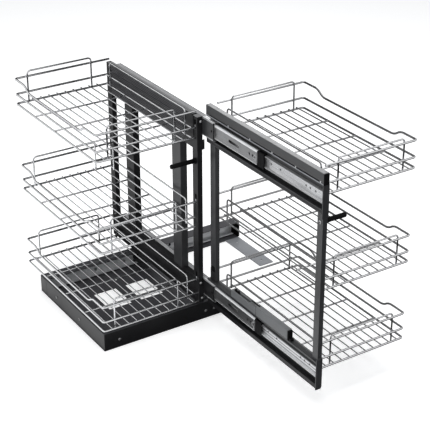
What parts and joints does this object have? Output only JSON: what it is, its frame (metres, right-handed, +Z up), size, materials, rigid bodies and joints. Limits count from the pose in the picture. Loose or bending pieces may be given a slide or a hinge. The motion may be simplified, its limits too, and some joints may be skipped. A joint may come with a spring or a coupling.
{
  "type": "blind corner pull out",
  "caption": "Corner cabinet fitting: a frame of chrome wire baskets shifts sideways on a floor base, and a second frame of baskets pulls forward on telescopic slides.",
  "frame": {"origin": "centre of the base's floor screw holes, on the floor", "axes": "+X right along the base, the way the carriage shifts; +Y back into the cabinet; +Z up"},
  "size_m": [0.582, 0.881, 0.586],
  "materials": {
    "powder_black": "fine satin powder coat, near black",
    "powder_grey": "fine satin powder coat, dark grey",
    "zinc": "bright zinc plate, rolled grain",
    "chrome": "polished chrome wire",
    "black_plastic": "moulded, satin black",
    "grey_plastic": "moulded, mid grey"
  },
  "bodies": {
    "base": {"base_pan": "powder_black", "rear_channel": "powder_black", "channel_end_cap": "black_plastic", "floor_strip": "powder_grey", "front_rail_outer": "zinc", "rear_rail_outer": "zinc", "base_screws": "zinc"},
    "carriage": {"front_rail_inner": "zinc", "rear_rail_runner": "zinc", "front_foot": "powder_grey", "rear_foot": "powder_grey", "lower_beam": "powder_black", "upper_beam": "powder_black", "rear_slotted_post": "powder_black", "front_slotted_post": "powder_black", "rear_wide_post": "powder_grey", "front_wide_post": "powder_grey", "front_gusset": "powder_black", "front_bracket": "powder_black", "carriage_screws": "zinc", "left_handle_peg": "black_plastic", "upper_slide_outer": "zinc", "lower_slide_outer": "zinc", "left_top_rim": "chrome", "left_top_floor": "chrome", "left_middle_rim": "chrome", "left_middle_floor": "chrome", "left_bottom_rim": "chrome", "left_bottom_floor": "chrome"},
    "pull_frame": {"upper_slide_inner": "zinc", "lower_slide_inner": "zinc", "pull_upper_beam": "powder_grey", "pull_lower_beam": "powder_grey", "pull_front_post": "powder_grey", "pull_rear_post": "powder_grey", "pull_end_caps": "black_plastic", "pull_screws": "zinc", "right_handle_peg": "black_plastic", "damper_housing": "grey_plastic", "right_top_rim": "chrome", "right_top_floor": "chrome", "right_middle_rim": "chrome", "right_middle_floor": "chrome", "right_bottom_rim": "chrome", "right_bottom_floor": "chrome"},
    "side_middle": {"front_rail_middle": "zinc"},
    "side_outer_cage": {"front_outer_cage": "zinc"},
    "side_inner_cage": {"front_inner_cage": "zinc"},
    "side_rear_cage": {"rear_cage": "zinc"},
    "upper_middle": {"upper_slide_middle": "zinc", "upper_slide_bumper": "black_plastic"},
    "lower_middle": {"lower_slide_middle": "zinc", "lower_slide_bumper": "black_plastic"},
    "upper_cage_a": {"upper_outer_cage": "zinc"},
    "upper_cage_b": {"upper_inner_cage": "zinc"},
    "lower_cage_a": {"lower_outer_cage": "zinc"},
    "lower_cage_b": {"lower_inner_cage": "zinc"},
    "catch": {"damper_catch": "black_plastic"}
  },
  "joints": [
    {"name": "side_slide", "type": "slide", "parent": "base", "child": "carriage", "axis": [1, 0, 0], "range_m": [0, 0.28]},
    {"name": "front_slide", "type": "slide", "parent": "carriage", "child": "pull_frame", "axis": [0, 1, 0], "range_m": [0, 0.386]},
    {"name": "catch_slide", "type": "slide", "parent": "pull_frame", "child": "catch", "axis": [0, -1, 0], "range_m": [0, 0.045]},
    {"name": "side_middle_run", "type": "slide", "parent": "base", "child": "side_middle", "axis": [1, 0, 0], "range_m": [0, 0.14]},
    {"name": "side_outer_cage_run", "type": "slide", "parent": "base", "child": "side_outer_cage", "axis": [1, 0, 0], "range_m": [0, 0.07]},
    {"name": "side_inner_cage_run", "type": "slide", "parent": "base", "child": "side_inner_cage", "axis": [1, 0, 0], "range_m": [0, 0.21]},
    {"name": "side_rear_cage_run", "type": "slide", "parent": "base", "child": "side_rear_cage", "axis": [1, 0, 0], "range_m": [0, 0.14]},
    {"name": "upper_middle_run", "type": "slide", "parent": "carriage", "child": "upper_middle", "axis": [0, 1, 0], "range_m": [0, 0.193]},
    {"name": "lower_middle_run", "type": "slide", "parent": "carriage", "child": "lower_middle", "axis": [0, 1, 0], "range_m": [0, 0.193]},
    {"name": "upper_cage_a_run", "type": "slide", "parent": "carriage", "child": "upper_cage_a", "axis": [0, 1, 0], "range_m": [0, 0.0965]},
    {"name": "upper_cage_b_run", "type": "slide", "parent": "carriage", "child": "upper_cage_b", "axis": [0, 1, 0], "range_m": [0, 0.2895]},
    {"name": "lower_cage_a_run", "type": "slide", "parent": "carriage", "child": "lower_cage_a", "axis": [0, 1, 0], "range_m": [0, 0.0965]},
    {"name": "lower_cage_b_run", "type": "slide", "parent": "carriage", "child": "lower_cage_b", "axis": [0, 1, 0], "range_m": [0, 0.2895]}
  ],
  "couplings": [
    {"joint": "side_middle_run", "follows": "side_slide", "ratio": 0.5},
    {"joint": "side_outer_cage_run", "follows": "side_slide", "ratio": 0.25},
    {"joint": "side_inner_cage_run", "follows": "side_slide", "ratio": 0.75},
    {"joint": "side_rear_cage_run", "follows": "side_slide", "ratio": 0.5},
    {"joint": "upper_middle_run", "follows": "front_slide", "ratio": 0.5},
    {"joint": "lower_middle_run", "follows": "front_slide", "ratio": 0.5},
    {"joint": "upper_cage_a_run", "follows": "front_slide", "ratio": 0.25},
    {"joint": "upper_cage_b_run", "follows": "front_slide", "ratio": 0.75},
    {"joint": "lower_cage_a_run", "follows": "front_slide", "ratio": 0.25},
    {"joint": "lower_cage_b_run", "follows": "front_slide", "ratio": 0.75}
  ]
}
